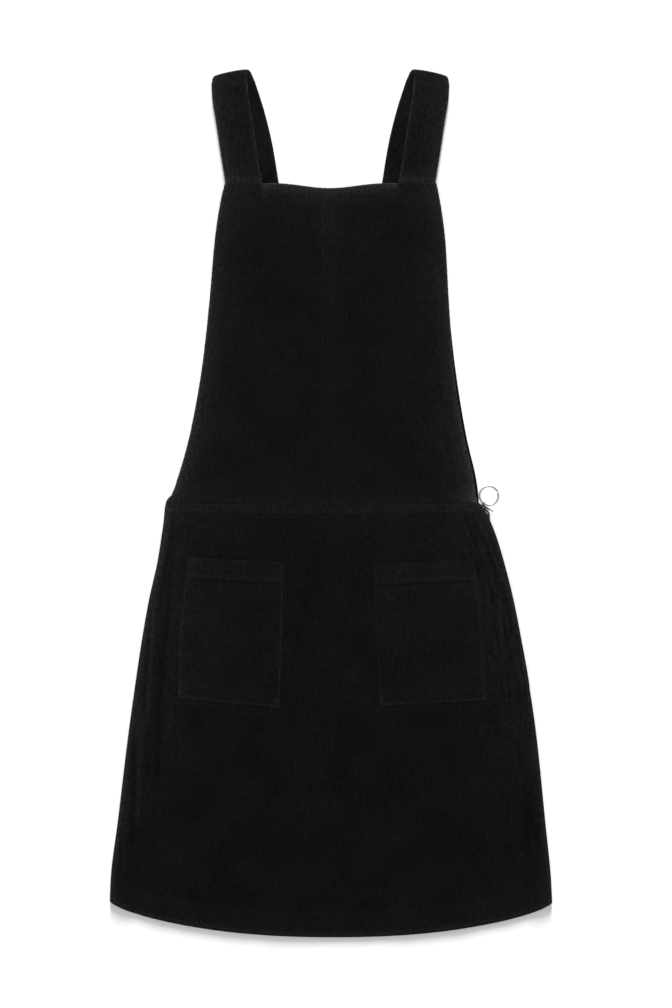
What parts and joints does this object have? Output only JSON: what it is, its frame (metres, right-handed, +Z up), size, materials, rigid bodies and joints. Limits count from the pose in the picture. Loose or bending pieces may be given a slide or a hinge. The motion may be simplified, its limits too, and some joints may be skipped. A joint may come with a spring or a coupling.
{
  "type": "pinafore dress",
  "caption": "Sleeveless corduroy pinafore dress laid flat, with a bib front, shoulder straps, patch pockets and a zip with a pull ring in the side seam.",
  "frame": {"origin": "middle of the underside, on the surface that the dress lies on", "axes": "+Y along the dress from hem to straps, +Z up out of its front, +X towards the side seam with the zip"},
  "size_m": [0.4644, 0.9105, 0.0101],
  "materials": {
    "corduroy": "black fine-wale cotton corduroy, matt, with wales along the garment's length",
    "zip_tape": "black woven zip tape, matt",
    "zip_metal": "dark antique brass teeth",
    "slider_metal": "dark antique brass, cast",
    "ring_metal": "bright nickel wire"
  },
  "bodies": {
    "dress": {"bib_back": "corduroy", "bib_front_left": "corduroy", "bib_front_right": "corduroy", "pocket_left": "corduroy", "pocket_right": "corduroy", "skirt_back": "corduroy", "skirt_front": "corduroy", "strap_left": "corduroy", "strap_right": "corduroy", "zip_tape_back": "zip_tape", "zip_tape_front": "zip_tape", "zip_chain": "zip_metal", "zip_slider": "slider_metal"},
    "ring": {"zip_ring": "ring_metal"}
  },
  "joints": [
    {"name": "ring_swing", "type": "hinge", "parent": "dress", "child": "ring", "pos_m": [0.16028, -0.00022, 0.0041], "axis": [0.829, -0.5592, 0], "range_deg": [0, 100]}
  ]
}
